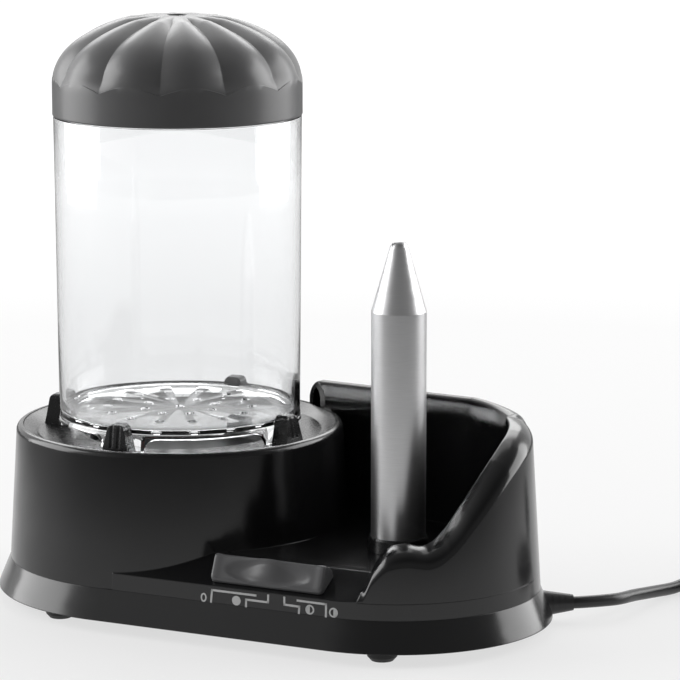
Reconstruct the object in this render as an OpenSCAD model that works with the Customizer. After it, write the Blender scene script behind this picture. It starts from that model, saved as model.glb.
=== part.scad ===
// Table-top steamer and warming spike: a clear steaming tube with a fluted lid on a drum,
// and beside it a heated steel spike in a walled tray. Millimetres, +Z up, front towards -Y.

/* [Plan of the base] */
// X of the drum and tube axis
drum_x = -55.5; // [-70:0.5:-40]
// X of the round end of the tray
tray_x = 70.5; // [55:0.5:85]
// Y of the round end of the tray, its front being level with the drum's
tray_y = -15; // [-25:0.5:-5]
// Outer radius of the drum at the crease above the plinth
plan_r = 85; // [79:0.5:93]
// Inward lean of the housing wall, mm per mm of height
draft = 0.06; // [0.02:0.01:0.1]

/* [Heights] */
// Underside of the base above the table
ride_height = 6; // [4:0.5:10]
// Crease where the plinth meets the upper housing
crease_z = 20.5; // [16:0.5:26]
// Top of the drum
drum_top = 87; // [70:0.5:100]
// Floor of the tray round the spike
tray_floor = 39; // [32:0.5:48]
// Top of the upright strip that carries the switch marks
strip_top = 28.5; // [26:0.5:34]

/* [Base shells] */
// How far the plinth spreads at its foot
plinth_flare = 6; // [3:0.5:9]
// Wall thickness of the moulded shells
shell = 2.6; // [2:0.2:4]
// Rounding of the drum's top edge
drum_round = 3; // [3:0.5:9]
// Depth of the switch slope from the front of the base to the edge of the tray floor
slope_depth = 20; // [17:0.5:26]

/* [Tray guard] */
// Inner radius of the guard round the tray
guard_inner = 54; // [48:0.5:58]
// Rounding of the guard's outer top edge
rim_round = 8.7; // [6:0.1:10]
// Angle at which the guard rises out of the switch slope
guard_start = -78; // [-84:1:-66]
// Height of the guard's top along the back
guard_top = 100.2; // [92:0.1:110]
// Distance of the back wall's rounded end from the drum axis, along the wall
back_wall_start = 20.5; // [14:0.5:26]
// Rise of the back wall's top towards the tray, in degrees
back_rise = 2; // [0:0.5:3]

/* [Steam deck] */
// Width of the drum's rim round the deck plate
deck_rim = 3.5; // [3:0.1:6]
// Depth of the deck below the top of the drum
deck_drop = 4; // [2:0.5:6]
// Thickness of the deck plate
deck_t = 2.4; // [1.6:0.2:4]
// Height of the four locating lugs above the deck
lug_h = 14.5; // [10:0.5:16]
// Width of a lug at its foot
lug_w = 14.5; // [10:0.5:17]
// Radius of the heating pan's bowl
pan_r = 46; // [38:0.5:48]
// Depth of the heating pan
pan_depth = 9; // [5:0.5:14]

/* [Steaming tube] */
// Outer radius of the tube under the lid
tube_r_top = 60.9; // [58:0.1:61]
// Outer radius of the tube at its floor
tube_r_floor = 59.7; // [56:0.1:61]
// Height of the tube from its foot to its mouth
tube_h = 165; // [120:1:190]
// Wall of the tube
tube_wall = 2.2; // [1.6:0.2:3]
// Height of the tube's floor above its foot
tube_floor_h = 10; // [8:0.5:14]
// Radius of one steam hole in the tube's floor
steam_hole_r = 2.5; // [1.5:0.1:4]

/* [Lid] */
// Outer radius of the lid's band
lid_r = 61.3; // [61:0.1:64]
// Overall height of the lid
lid_h = 48.6; // [40:0.1:60]
// Height of the plain band at the foot of a valley
lid_band = 15.4; // [11:0.1:20]
// Rise of the band's top from a valley to the middle of a petal
arch_rise = 3.6; // [0:0.2:6]
// Number of petals
petals = 12; // [8:1:16]
// Depth of the valley between two petals
petal_depth = 2.6; // [1:0.1:3]
// Radius of the vent in the lid's top
vent_r = 4.7; // [3:0.1:7]

/* [Spike] */
// X of the spike
spike_x = 73.5; // [65:0.5:82]
// Y of the spike
spike_y = -18; // [-28:0.5:-8]
// Radius of the spike
spike_r = 13.2; // [9:0.1:16]
// Height of the spike above the tray floor
spike_h = 150; // [110:1:180]
// Length of the spike's tapered point
spike_point = 34; // [20:1:50]
// Height of the collar at its foot
collar_h = 7; // [4:0.5:12]

/* [Switch] */
// Length of the sliding knob
knob_l = 59; // [40:0.5:64]
// Width of the knob up the slope
knob_w = 14.5; // [12:0.5:16]
// Height of the knob's crown off the slope
knob_crown = 9; // [7.5:0.1:10]
// X of the knob's middle at the off mark
knob_x = 35.5; // [30:0.5:36.5]
// Distance from one switch position to the next
step = 4.5; // [3.5:0.5:5]

/* [Cord] */
// Diameter of the cord
cord_d = 6; // [5:0.1:8]
// Angle round the tray's end at which the cord leaves
cord_angle = 33; // [28:1:46]
// Height of the cord where it leaves
cord_z = 9; // [8:0.5:12]
// Length of the tapered strain relief
relief_l = 22; // [20:1:30]

/* [Hidden] */
$fn = 96;

// Clearances, and the small steps that keep joined shapes from sharing a face
fit = 0.3;
bed = 0.1;
seam = 0.05;
over = 2;

// Plan
span = tray_x - drum_x;
tray_r = plan_r + tray_y;
back_turn = 2 * atan2(tray_y, span);
back_angle = 90 + back_turn;
guard_end = back_angle - 0.6;
foot_r = plan_r + plinth_flare;
function wall_r(z) = plan_r - (z - crease_z) * draft;
function tray_wall_r(z) = tray_r - (z - crease_z) * draft;

// Switch slope, from the strip's top edge up to the lip of the tray floor
lip_y = slope_depth - plan_r;
slope_y = -wall_r(strip_top);
slope_z = strip_top;
slope_angle = atan2(tray_floor - slope_z, lip_y - slope_y);
slope_run = (lip_y - slope_y) / cos(slope_angle);

// Deck and tube
deck_top = drum_top - deck_drop;
deck_r = wall_r(drum_top) - deck_rim;
tube_foot = deck_top + fit;
tube_floor_z = tube_foot + tube_floor_h;
tube_mouth = tube_foot + tube_h;
tube_foot_r = tube_r_floor + 2;
lug_in = tube_r_floor + 0.8;
lug_angles = [-170, -88.5, -7, 91.5];

// Lid
lid_rim_z = tube_mouth - 8;
neck_r = tube_r_top - 1.6;
shoulder_z = lid_rim_z - 0.5;

// Switch
travel = 3 * step;
slot_w = 5;
slot_l = travel + 12;

// Base screws and feet, on pitch circles round the two axes
foot_inset = 8;
drum_foot = plan_r - foot_inset;
tray_foot = tray_r - foot_inset;
foot_spots = [
    [drum_x + drum_foot * cos(249), drum_foot * sin(249)],
    [drum_x + drum_foot * cos(125), drum_foot * sin(125)],
    [tray_x + tray_foot * cos(-70), tray_y + tray_foot * sin(-70)],
    [tray_x + tray_foot * cos(72), tray_y + tray_foot * sin(72)]
];
screw_pitch = plan_r - 14;
tray_screw = guard_inner - 10;
screw_angles = [205, 95, 262];
screw_spots = concat(
    [for (a = screw_angles) [drum_x + screw_pitch * cos(a), screw_pitch * sin(a)]],
    [for (a = [8, -52]) [tray_x + tray_screw * cos(a), tray_y + tray_screw * sin(a)]]
);
boss_r = 4.2;
screw_r = 1.6;
foot_rad = 7.5;

// Cord inside the base, from the clamp down to the strain relief
cord_r = cord_d / 2;
clamp_r = tray_r - 29;
clamp_z = ride_height + shell + cord_r + 1;
relief_r = tray_r - 5;
exit_r = relief_r + relief_l;

// Two drafted rounds joined by flat tangent walls
module flank(z0, z1, ra, rb, from = 0) {
    translate([from, 0, 0])
        rotate([90, 0, 90])
            linear_extrude(span - from)
                polygon([[0, z0], [-ra, z0], [-rb, z1], [0, z1]]);
}

module slab(z0, z1) {
    translate([-200, -150, z0])
        cube([400, 300, z1 - z0]);
}

module two_round(z0, z1, ra, rb) {
    lean = (rb - ra) / (z1 - z0);
    low_r = ra - lean * over;
    high_r = rb + lean * over;
    h = z1 - z0 + 2 * over;
    intersection() {
        union() {
            translate([drum_x, 0, z0 - over])
                cylinder(r1 = low_r, r2 = high_r, h = h);
            translate([tray_x, tray_y, z0 - over])
                cylinder(r1 = low_r + tray_y, r2 = high_r + tray_y, h = h);
            translate([drum_x, 0, 0])
                flank(z0 - over, z1 + over, low_r - seam, high_r - seam);
            translate([drum_x, 0, 0])
                rotate(back_turn)
                    mirror([0, 1, 0])
                        flank(z0 - over, z1 + over, low_r - seam, high_r - seam);
        }
        slab(z0, z1);
    }
}

// Frame of the switch slope: X along it, Y up it, Z off its face
module on_slope(x, up, lift) {
    translate([x, slope_y, slope_z])
        rotate([slope_angle, 0, 0])
            translate([0, up, lift])
                children();
}

// Space round the tray that the guard takes, above z0
module guard_space(z0) {
    translate([tray_x, tray_y, z0])
        rotate(guard_start)
            rotate_extrude(angle = guard_end - guard_start)
                translate([guard_inner - bed, 0])
                    square([40, 100]);
}

// Lower shell: flared plinth, bottom plate and the lip that locates the upper housing
lip_h = 3;
module base_pan() {
    cavity_foot = foot_r - 5;
    cavity_top = plan_r - shell - fit - 1.8;
    lip_r = plan_r - shell - fit;
    notch_r = 7;
    color("#17181a")
        difference() {
            union() {
                two_round(ride_height, crease_z, foot_r, plan_r);
                two_round(crease_z - 1, crease_z + lip_h, lip_r, lip_r - 0.2);
            }
            two_round(ride_height + shell, crease_z + lip_h + 1, cavity_foot, cavity_top);
            for (s = screw_spots)
                translate([s[0], s[1], 0]) {
                    cylinder(r = screw_r + fit, h = 30);
                    cylinder(r = 3.4, h = ride_height + 1.2);
                }
            for (f = foot_spots)
                translate([f[0], f[1], 0]) {
                    cylinder(r = foot_rad + 0.2, h = ride_height + 0.8);
                    cylinder(r = 3, h = ride_height + shell + 1);
                }
            translate([tray_x, tray_y, 0])
                rotate(cord_angle)
                    translate([tray_r - 20, 0, 0]) {
                        translate([0, -notch_r, 0])
                            cube([40, 2 * notch_r, cord_z]);
                        translate([0, 0, cord_z])
                            rotate([0, 90, 0])
                                cylinder(r = notch_r, h = 40);
                    }
            for (i = [-3 : 3])
                translate([drum_x - 30, i * 9 - 2, 0])
                    cube([60, 4, 20]);
        }
}

// Half section of the drum, set in by i
module drum_half(i) {
    round_z = drum_top - drum_round;
    round_x = wall_r(round_z) - drum_round;
    low = crease_z - over;
    polygon([
        [0, low], [wall_r(low) - i, low],
        [wall_r(round_z) - i, round_z], [0, round_z]
    ]);
    translate([0, round_z - 1])
        square([round_x, drum_round - i + 1]);
    translate([round_x, round_z])
        circle(r = drum_round - i);
}

// Half width and height of the rounded inner edge along the top of the back wall
brow_w = 5.8;
brow_h = 9.2;

// Section of the back wall, set in by i: drafted outside, rounded over on both sides of its crest
module back_section(i) {
    face = tray_y - guard_inner;
    crest = face - brow_w;
    round_z = guard_top - rim_round;
    outer_w = wall_r(round_z) - bed + crest;
    low = tray_floor - 10 - i;
    polygon(concat(
        [[bed + i - wall_r(low), low], [face - i, low]],
        [for (t = [0 : 7.5 : 90])
            [crest + (brow_w - i) * cos(t), guard_top - brow_h + (brow_h - i) * sin(t)]],
        [for (t = [82.5 : -7.5 : 0])
            [crest - (outer_w - i) * cos(t), round_z + (rim_round - i) * sin(t)]]
    ));
}

// Back wall from the drum to the guard, its top level at rise_from and climbing to the right
rise_from = 39;
module back_wall(i) {
    end_round = 12;
    side_round = 8;
    start = back_wall_start + i;
    full = back_wall_start + end_round;
    reach = span + 0.45 - i;
    translate([drum_x, 0, 0])
        rotate(back_turn)
            mirror([0, 1, 0])
                intersection() {
                    translate([rise_from, 0, guard_top])
                        rotate([0, -back_rise, 0])
                            translate([-rise_from, 0, -guard_top])
                                rotate([90, 0, 90])
                                    linear_extrude(span + 8)
                                        back_section(i);
                    rotate([90, 0, 0])
                        linear_extrude(100) {
                            translate([start, 0])
                                square([reach - start, guard_top - end_round]);
                            translate([full, 0])
                                square([reach - full, 150]);
                            translate([full, guard_top - end_round])
                                circle(r = end_round - i);
                        }
                    linear_extrude(150) {
                        translate([start - 1, -100])
                            square([200, 100 + tray_y - guard_inner - side_round]);
                        translate([back_wall_start + side_round, -100])
                            square([200, 100]);
                        translate([back_wall_start + side_round, tray_y - guard_inner - side_round])
                            circle(r = side_round - i);
                    }
                }
}

// Tray block between the drum and the round end, with the switch slope cut in its front
module tray_block() {
    low = crease_z - over;
    high = tray_floor + over;
    difference() {
        union() {
            translate([tray_x, tray_y, low])
                cylinder(r1 = tray_wall_r(low), r2 = tray_wall_r(high), h = high - low);
            translate([drum_x, 0, 0])
                flank(low, high, wall_r(low) - seam, wall_r(high) - seam, 9);
            translate([drum_x, 0, 0])
                rotate(back_turn)
                    mirror([0, 1, 0])
                        flank(low, high, wall_r(low) - seam, wall_r(high) - seam, 9);
        }
        slab(tray_floor, 2 * tray_floor);
        guard_space(strip_top);
        on_slope(0, 0, 0)
            translate([-150, -40, 0])
                cube([300, 50 + slope_run, 60]);
    }
}

// Room under the tray floor and under the slope
module tray_room() {
    low = crease_z - over;
    room_h = tray_floor - shell - low;
    translate([tray_x, tray_y, low])
        cylinder(r = guard_inner - bed - shell, h = room_h);
    translate([drum_x + 20, lip_y + 3, low])
        cube([tray_x - drum_x - 20, 60, room_h - bed]);
    translate([drum_x, 0, low])
        rotate(back_turn)
            translate([20, 0, 0])
                cube([span - 20, guard_inner - tray_y - shell - 0.5, room_h - 2 * bed]);
    on_slope(0, 2 * shell, -shell - 40)
        translate([-30, 0, 0])
            cube([105, slope_run, 40]);
}

// Ledge inside the drum's rim that the deck plate lies on
module deck_ledge() {
    outer = wall_r(deck_top) - 1.2;
    translate([drum_x, 0, deck_top])
        rotate_extrude()
            polygon([[deck_r - 5, -4.5], [outer, -7], [outer, -0.7], [deck_r - 5, -0.7]]);
}

// Upper shell: drum, tray floor, switch slope and back wall in one moulding
module upper_housing() {
    boss_top = 46;
    color("#141517")
        difference() {
            union() {
                difference() {
                    union() {
                        translate([drum_x, 0, 0])
                            rotate_extrude()
                                drum_half(0);
                        tray_block();
                        back_wall(0);
                    }
                    slab(0, crease_z);
                    translate([drum_x, 0, 0])
                        rotate_extrude()
                            drum_half(shell);
                    tray_room();
                    back_wall(shell);
                    two_round(crease_z - 1, crease_z + lip_h + fit, plan_r - shell, plan_r - shell - 0.2);
                }
                for (s = screw_spots)
                    translate([s[0], s[1], ride_height + shell + bed])
                        cylinder(r = boss_r, h = tray_floor - shell - ride_height - shell + 1);
                for (a = screw_angles)
                    translate([drum_x, 0, crease_z + 4])
                        rotate(a)
                            translate([screw_pitch, -1.2, 0])
                                cube([wall_r(boss_top) - screw_pitch - 1, 2.4, 14]);
                for (a = [30, 150, 270])
                    translate([spike_x, spike_y, tray_floor - shell - 6])
                        rotate(a)
                            translate([19, 0, 0])
                                cylinder(r = 3.5, h = 6.5);
                on_slope(knob_x + travel / 2, slope_run / 2, -shell - 5)
                    for (x = [-24, 24])
                        translate([x, 0, 0])
                            cylinder(r = 3.2, h = 6);
                deck_ledge();
            }
            translate([drum_x, 0, deck_top - 1.4 - bed])
                cylinder(r = deck_r + fit, h = 20);
            translate([drum_x, 0, drum_top - 20])
                cylinder(r = deck_r - 3, h = 40);
            translate([spike_x, spike_y, tray_floor - 10])
                cylinder(r = spike_r + 0.2, h = 20);
            for (a = [30, 150, 270])
                translate([spike_x, spike_y, tray_floor - shell - 7])
                    rotate(a)
                        translate([19, 0, 0])
                            cylinder(r = 1.3, h = 6);
            on_slope(knob_x + travel / 2, slope_run / 2, -6)
                translate([-slot_l / 2, -slot_w / 2 - fit, 0])
                    cube([slot_l, slot_w + 2 * fit, 20]);
            on_slope(knob_x + travel / 2, slope_run / 2, -shell - 6)
                for (x = [-24, 24])
                    translate([x, 0, 0])
                        cylinder(r = 1.2, h = 6);
            for (s = screw_spots)
                translate([s[0], s[1], 0])
                    cylinder(r = screw_r - 0.2, h = ride_height + 22);
        }
}

// Height of the guard's top against the angle round the tray, as hand-set stations
guard_line = [
    [-78, 36], [-74, 45], [-68, 52], [-60, 54], [-50, 53], [-42, 58], [-31, 70],
    [-20, 81], [-10, 89], [2, 95.3], [16, 98.8], [34, 100.8], [56, 101.9],
    [guard_end, guard_top + (span - rise_from) * tan(back_rise)]
];
function knot(i) = guard_line[max(0, min(len(guard_line) - 1, i))];
function bend4(a, b, c, d, u) =
    b + u * ((c - a) / 2 + u * (a - 2.5 * b + 2 * c - d / 2 + u * (1.5 * (b - c) + (d - a) / 2)));
function guard_segment(a, i = 0) =
    i >= len(guard_line) - 2 || a <= guard_line[i + 1][0] ? i : guard_segment(a, i + 1);
function guard_h(a) =
    let (i = guard_segment(a))
    let (u = (a - knot(i)[0]) / (knot(i + 1)[0] - knot(i)[0]))
    bend4(knot(i - 1)[1], knot(i)[1], knot(i + 1)[1], knot(i + 2)[1], u);

// One section of the guard as [radius, height] points: a hollow wall, rounded over outside,
// and inside as well along the back
function brow(a, full) = let (u = max(0, min(1, (a - 36) / 6))) 2 + (full - 2) * u * u * (3 - 2 * u);
function guard_section(a) =
    let (h = guard_h(a), foot = strip_top + bed / 2)
    let (round_z = max(foot + 0.6, h - rim_round), outer = tray_wall_r(round_z))
    let (in_w = brow(a, brow_w), in_h = brow(a, brow_h))
    let (round_r = guard_inner + in_w, skin = shell - 0.2)
    concat(
        [[tray_wall_r(foot), foot]],
        [for (t = [0 : 11.25 : 90])
            [round_r + (outer - round_r) * cos(t), round_z + (h - round_z) * sin(t)]],
        [for (t = [22.5 : 22.5 : 90])
            [round_r - in_w * sin(t), h - in_h + in_h * cos(t)]],
        [
            [guard_inner, foot],
            [guard_inner + skin, foot],
            [guard_inner + skin, max(foot + 0.4, h - in_h - 1)],
            [outer - skin, max(foot + 0.3, round_z - 1)],
            [tray_wall_r(foot) - skin, foot]
        ]
    );
guard_steps = 52;
guard_angles = [for (i = [0 : guard_steps]) guard_start + (guard_end - guard_start) * i / guard_steps];
guard_rings = [for (a = guard_angles) guard_section(a)];

// Guard wall wrapped round the tray, rising from the switch slope to the back wall
module tray_guard() {
    n = len(guard_rings[0]);
    points = [
        for (i = [0 : guard_steps])
            for (q = guard_rings[i])
                [q[0] * cos(guard_angles[i]), q[0] * sin(guard_angles[i]), q[1]]
    ];
    sides = [
        for (i = [0 : guard_steps - 1])
            for (j = [0 : n - 1])
                [i * n + j, i * n + (j + 1) % n, (i + 1) * n + (j + 1) % n, (i + 1) * n + j]
    ];
    first = [for (j = [n - 1 : -1 : 0]) j];
    last = [for (j = [0 : n - 1]) guard_steps * n + j];
    color("#141517")
        translate([tray_x, tray_y, 0])
            polyhedron(points, concat(sides, [first, last]), convexity = 6);
}

// Deck plate let into the drum's top, dipping in from the rim, with four lugs round the tube's foot
module lug() {
    top_w = lug_w * 0.66;
    intersection() {
        rotate([90, 0, 90])
            linear_extrude(lug_in + 20) {
                polygon([
                    [-lug_w / 2, 0], [lug_w / 2, 0],
                    [top_w / 2, lug_h - top_w / 3], [-top_w / 2, lug_h - top_w / 3]
                ]);
                translate([-top_w / 2 + 2, lug_h - top_w / 3 - 1])
                    square([top_w - 4, top_w / 3 + 1]);
                for (side = [-1, 1])
                    translate([side * (top_w / 2 - top_w / 3), lug_h - top_w / 3])
                        circle(r = top_w / 3);
            }
        rotate_extrude() {
            polygon([
                [lug_in, -1], [lug_in + 9, -1], [lug_in + 9, 0.5],
                [lug_in + 7.2, lug_h - 2], [lug_in, lug_h - 2]
            ]);
            translate([lug_in, lug_h - 3])
                square([5.2, 3]);
            translate([lug_in + 5.2, lug_h - 2])
                circle(r = 2);
        }
    }
}

module fluted_lug() {
    groove_r = 1.1;
    difference() {
        lug();
        for (side = [-1, 1])
            translate([lug_in + 9, side * 1.9, 3.5])
                rotate([0, -8, 0])
                    cylinder(r = groove_r, h = lug_h);
    }
}

module deck_ring() {
    hole = pan_r + 2;
    color("#101113")
        translate([drum_x, 0, deck_top])
            difference() {
                union() {
                    rotate_extrude()
                        polygon([
                            [hole, -deck_t], [deck_r - 3 - fit, -deck_t], [deck_r - 3 - fit, -1.4],
                            [deck_r, -1.4], [deck_r, deck_drop - 0.3], [lug_in + 9.8, 0],
                            [hole + 2, 0], [hole, -0.8]
                        ]);
                    for (a = lug_angles)
                        rotate(a)
                            translate([0, 0, -0.5])
                                fluted_lug();
                    for (a = [45 : 90 : 315])
                        rotate(a)
                            translate([pan_r + 13, 0, -deck_t - 2.3])
                                cylinder(r = 3.5, h = 3);
                }
                for (a = [45 : 90 : 315])
                    rotate(a)
                        translate([pan_r + 13, 0, -deck_t - 3])
                            cylinder(r = 1.3, h = 4.2);
            }
}

// Coated dish that boils the water, hung under the deck
seal_t = 1;
pan_top = deck_top - deck_t - seal_t - bed;
pan_t = 1.2;
pan_under = pan_top - pan_depth;
module heating_pan() {
    color("#3a3b3d")
        translate([drum_x, 0, 0])
            rotate_extrude()
                polygon([
                    [0, pan_under], [pan_r - 3, pan_under], [pan_r, pan_under + 3],
                    [pan_r, pan_top - pan_t], [pan_r + 8, pan_top - pan_t], [pan_r + 8, pan_top],
                    [pan_r - pan_t, pan_top], [pan_r - pan_t, pan_under + 3.5],
                    [pan_r - 3.5, pan_under + pan_t], [0, pan_under + pan_t]
                ]);
}

module pan_seal() {
    color("#6f2f2a")
        translate([drum_x, 0, pan_top + bed / 2])
            difference() {
                cylinder(r = pan_r + 7.5, h = seal_t);
                translate([0, 0, -1])
                    cylinder(r = pan_r + 3, h = seal_t + 2);
            }
}

// Tubular heater under the dish, a ring open at the back with two upright ends
element_r = 3.5;
element_ring = pan_r - 16;
element_drop = 14;
module heating_element() {
    color("#8d8f92")
        translate([drum_x, 0, pan_under - element_r - bed]) {
            rotate(120)
                rotate_extrude(angle = 300)
                    translate([element_ring, 0])
                        circle(r = element_r);
            for (a = [53, 127])
                rotate(a)
                    translate([element_ring, 0, -element_drop])
                        cylinder(r = element_r - 0.7, h = element_drop + 0.5);
        }
}

module thermostat() {
    color("#d9d4c8")
        translate([drum_x, 0, pan_under - bed])
            mirror([0, 0, 1]) {
                cylinder(r = 8, h = 6);
                cylinder(r = 6, h = 10);
                for (x = [-5, 5])
                    translate([x - 0.4, -3, 8])
                        cube([0.8, 6, 9]);
            }
}

module thermal_fuse() {
    color("#b9bcc0")
        translate([drum_x + element_ring / 2, 0, pan_under - bed - 2.2]) {
            rotate([90, 0, 0])
                translate([0, 0, -8])
                    cylinder(r = 2.2, h = 16);
            rotate([90, 0, 0])
                translate([0, 0, -14])
                    cylinder(r = 0.5, h = 28);
        }
}

// Four flat clips and their screws that press the dish's flange up to the seal
clip_top = deck_top - deck_t - 2.3 - bed;
module pan_clips() {
    color("#c9ccd0")
        translate([drum_x, 0, clip_top - 1.2])
            for (a = [45 : 90 : 315])
                rotate(a)
                    difference() {
                        translate([pan_r + 3, -5, 0])
                            cube([15, 10, 1.2]);
                        translate([pan_r + 13, 0, -1])
                            cylinder(r = 1.7, h = 4);
                    }
}

module clip_screws() {
    color("#b0b3b8")
        translate([drum_x, 0, clip_top - 1.2 - bed])
            for (a = [45 : 90 : 315])
                rotate(a)
                    translate([pan_r + 13, 0, 0]) {
                        translate([0, 0, -1.8])
                            cylinder(r = 2.8, h = 1.8);
                        translate([0, 0, -0.1])
                            cylinder(r = 1.2, h = 4.6);
                    }
}

// One arched opening in the tube's skirt, from angle a0 to angle a1
arch_h = 6;
module skirt_arch(a0, a1) {
    corner = 5.6;
    translate([0, 0, tube_foot]) {
        rotate(a0 + corner)
            translate([0, 0, -1])
                rotate_extrude(angle = a1 - a0 - 2 * corner)
                    translate([tube_r_floor - 8, 0])
                        square([20, arch_h + 1]);
        for (a = [a0 + corner, a1 - corner])
            rotate(a)
                translate([tube_r_floor - 7, 0, 0])
                    rotate([0, 90, 0])
                        cylinder(r = arch_h - 0.1, h = 18);
    }
}

// Clear steaming tube: drafted wall with a stepped neck for the lid, pierced floor, and a flared
// skirt that has an arch between each two lugs and a recess for each lug
module steam_tube() {
    inside_floor = tube_r_floor - tube_wall;
    lug_room = 9.3;
    arch_from = 10.5;
    color([0.9, 0.93, 0.95, 0.35])
        translate([drum_x, 0, 0])
            difference() {
                rotate_extrude()
                    polygon([
                        [0, tube_floor_z - 2], [inside_floor - 0.6, tube_floor_z - 2],
                        [tube_foot_r - tube_wall, tube_foot], [tube_foot_r, tube_foot],
                        [tube_r_floor, tube_floor_z], [tube_r_top, shoulder_z], [neck_r, shoulder_z],
                        [neck_r, tube_mouth], [neck_r - 1.8, tube_mouth], [neck_r - 1.8, shoulder_z - 1],
                        [tube_r_top - tube_wall, shoulder_z - 4], [inside_floor, tube_floor_z],
                        [0, tube_floor_z]
                    ]);
                for (k = [0 : 3])
                    skirt_arch(
                        lug_angles[k] + arch_from,
                        (k < 3 ? lug_angles[k + 1] : lug_angles[0] + 360) - arch_from
                    );
                for (a = lug_angles)
                    rotate(a - lug_room)
                        translate([0, 0, tube_foot - 1])
                            rotate_extrude(angle = 2 * lug_room)
                                translate([lug_in - fit, 0])
                                    square([10, tube_floor_h]);
                translate([0, 0, tube_floor_z - 5])
                    cylinder(r = steam_hole_r, h = 8);
                for (ring = [[18, 8], [36, 14]])
                    for (k = [0 : ring[1] - 1])
                        rotate(k * 360 / ring[1])
                            translate([ring[0], 0, tube_floor_z - 5])
                                cylinder(r = steam_hole_r, h = 8);
            }
}

// Lid: a plain band that runs flush into a dome of petals with sharp valleys, vented at the top
valley_angle = 21;
lid_columns = petals * 8;
lid_ledge_h = tube_mouth - lid_rim_z + fit;
dome_h = lid_h - lid_band + 1.4;
function petal_wave(phi) = abs(sin((phi - valley_angle) * petals / 2));
function dome_r(z) = (lid_r - 0.05) * sqrt(1 - pow(max(0, z - lid_band) / dome_h, 2.2));
function valley(r, z, phi) =
    let (u = max(0, min(1, (z - lid_band) / 7)), near = max(0, min(1, (r - 11) / 11)))
    petal_depth * (0.2 + 0.8 * u * u * (3 - 2 * u)) * near * (1 - petal_wave(phi));
function dome_point(r, z, phi) =
    let (k = valley(r, z, phi), slope = r / lid_r)
    [r - k * slope, z - k * sqrt(max(0, 1 - slope * slope))];
function dome_row(u, phi) =
    let (z0 = lid_band + arch_rise * petal_wave(phi) + 0.3, z = z0 + (lid_h - 1.2 - z0) * sin(90 * u))
    dome_point(dome_r(z), z, phi);
lid_inside = concat(
    [for (t = [85, 70, 55, 38, 20, 0])
        [(lid_r - 5.6) * cos(t), lid_ledge_h + 2 + (lid_h - lid_ledge_h - 5) * sin(t)]],
    [[neck_r - 3.4, lid_ledge_h], [neck_r + fit, lid_ledge_h], [neck_r + fit, 0]]
);
function lid_loop(phi) = concat(
    [[lid_r - 0.4, 0], [lid_r, 0.6], [lid_r, lid_band + arch_rise * petal_wave(phi)]],
    [for (u = [0 : 0.1 : 1.01]) dome_row(u, phi)],
    [dome_point(17, lid_h - 0.45, phi), [11, lid_h - 0.1], [vent_r, lid_h], [vent_r, lid_h - 2.6]],
    lid_inside
);

module lid() {
    n = len(lid_loop(0));
    points = [
        for (i = [0 : lid_columns - 1])
            let (phi = valley_angle + i * 360 / lid_columns)
            for (q = lid_loop(phi))
                [q[0] * cos(phi), q[0] * sin(phi), q[1]]
    ];
    faces = [
        for (i = [0 : lid_columns - 1])
            for (j = [0 : n - 1])
                let (a = i * n, b = ((i + 1) % lid_columns) * n, k = (j + 1) % n)
                each [[a + j, a + k, b + k], [a + j, b + k, b + j]]
    ];
    color("#5b5c5e")
        translate([drum_x, 0, lid_rim_z])
            polyhedron(points, faces, convexity = 6);
}

// Hollow steel spike with a tapered point, standing on its flange under the tray floor
flange_t = 3;
flange_top = tray_floor - shell - 6 - bed;
spike_foot = flange_top + bed;
spike_top = tray_floor + spike_h;
module spike() {
    tip_r = 4.6;
    shoulder = spike_top - spike_point;
    color("#c4c6c8")
        translate([spike_x, spike_y, 0])
            rotate_extrude() {
                polygon([
                    [spike_r - 1, spike_foot], [spike_r, spike_foot], [spike_r, shoulder],
                    [tip_r * 0.97, spike_top - tip_r * 0.75], [0, spike_top - tip_r * 0.75],
                    [0, spike_top - tip_r - 2], [2.4, spike_top - tip_r - 2], [spike_r - 1, shoulder]
                ]);
                intersection() {
                    translate([0, spike_top - tip_r])
                        circle(r = tip_r);
                    translate([0, spike_top - tip_r])
                        square([tip_r, tip_r]);
                }
            }
}

module spike_collar() {
    color("#101113")
        translate([spike_x, spike_y, tray_floor + bed / 2])
            rotate_extrude()
                polygon([
                    [spike_r + bed, 0], [spike_r + 1.6, 0], [spike_r + 1.2, collar_h - 0.8],
                    [spike_r + 0.6, collar_h], [spike_r + bed, collar_h]
                ]);
}

module spike_heater() {
    color("#9a9c9f")
        translate([spike_x, spike_y, flange_top - flange_t - 6]) {
            cylinder(r = 5, h = spike_h - 52);
            cylinder(r = 6.5, h = 5.8);
        }
}

module spike_flange() {
    color("#8b8e92")
        translate([spike_x, spike_y, flange_top - flange_t])
            difference() {
                cylinder(r = 24, h = flange_t);
                translate([0, 0, -1])
                    cylinder(r = 5.2, h = 10);
                for (a = [30, 150, 270])
                    rotate(a)
                        translate([19, 0, -1])
                            cylinder(r = 1.7, h = 10);
            }
}

module spike_screws() {
    color("#b0b3b8")
        translate([spike_x, spike_y, flange_top - flange_t - bed])
            for (a = [30, 150, 270])
                rotate(a)
                    translate([19, 0, 0]) {
                        translate([0, 0, -1.9])
                            cylinder(r = 2.8, h = 1.9);
                        translate([0, 0, -0.1])
                            cylinder(r = 1.2, h = 7.5);
                    }
}

// Sliding knob on the slope: a bar with a steep front, dished for the thumb on each side of a hump
knob_lift = 0.4;
knob_front = 1.7;
knob_ridge = 2.6;
knob_down = 1.25;
module knob_outline() {
    corner = 2;
    translate([-knob_l / 2 + corner, -knob_w / 2])
        square([knob_l - 2 * corner, knob_w]);
    translate([-knob_l / 2, -knob_w / 2 + corner])
        square([knob_l, knob_w - 2 * corner]);
    for (x = [-1, 1])
        for (y = [-1, 1])
            translate([x * (knob_l / 2 - corner), y * (knob_w / 2 - corner)])
                circle(r = corner);
}

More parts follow.
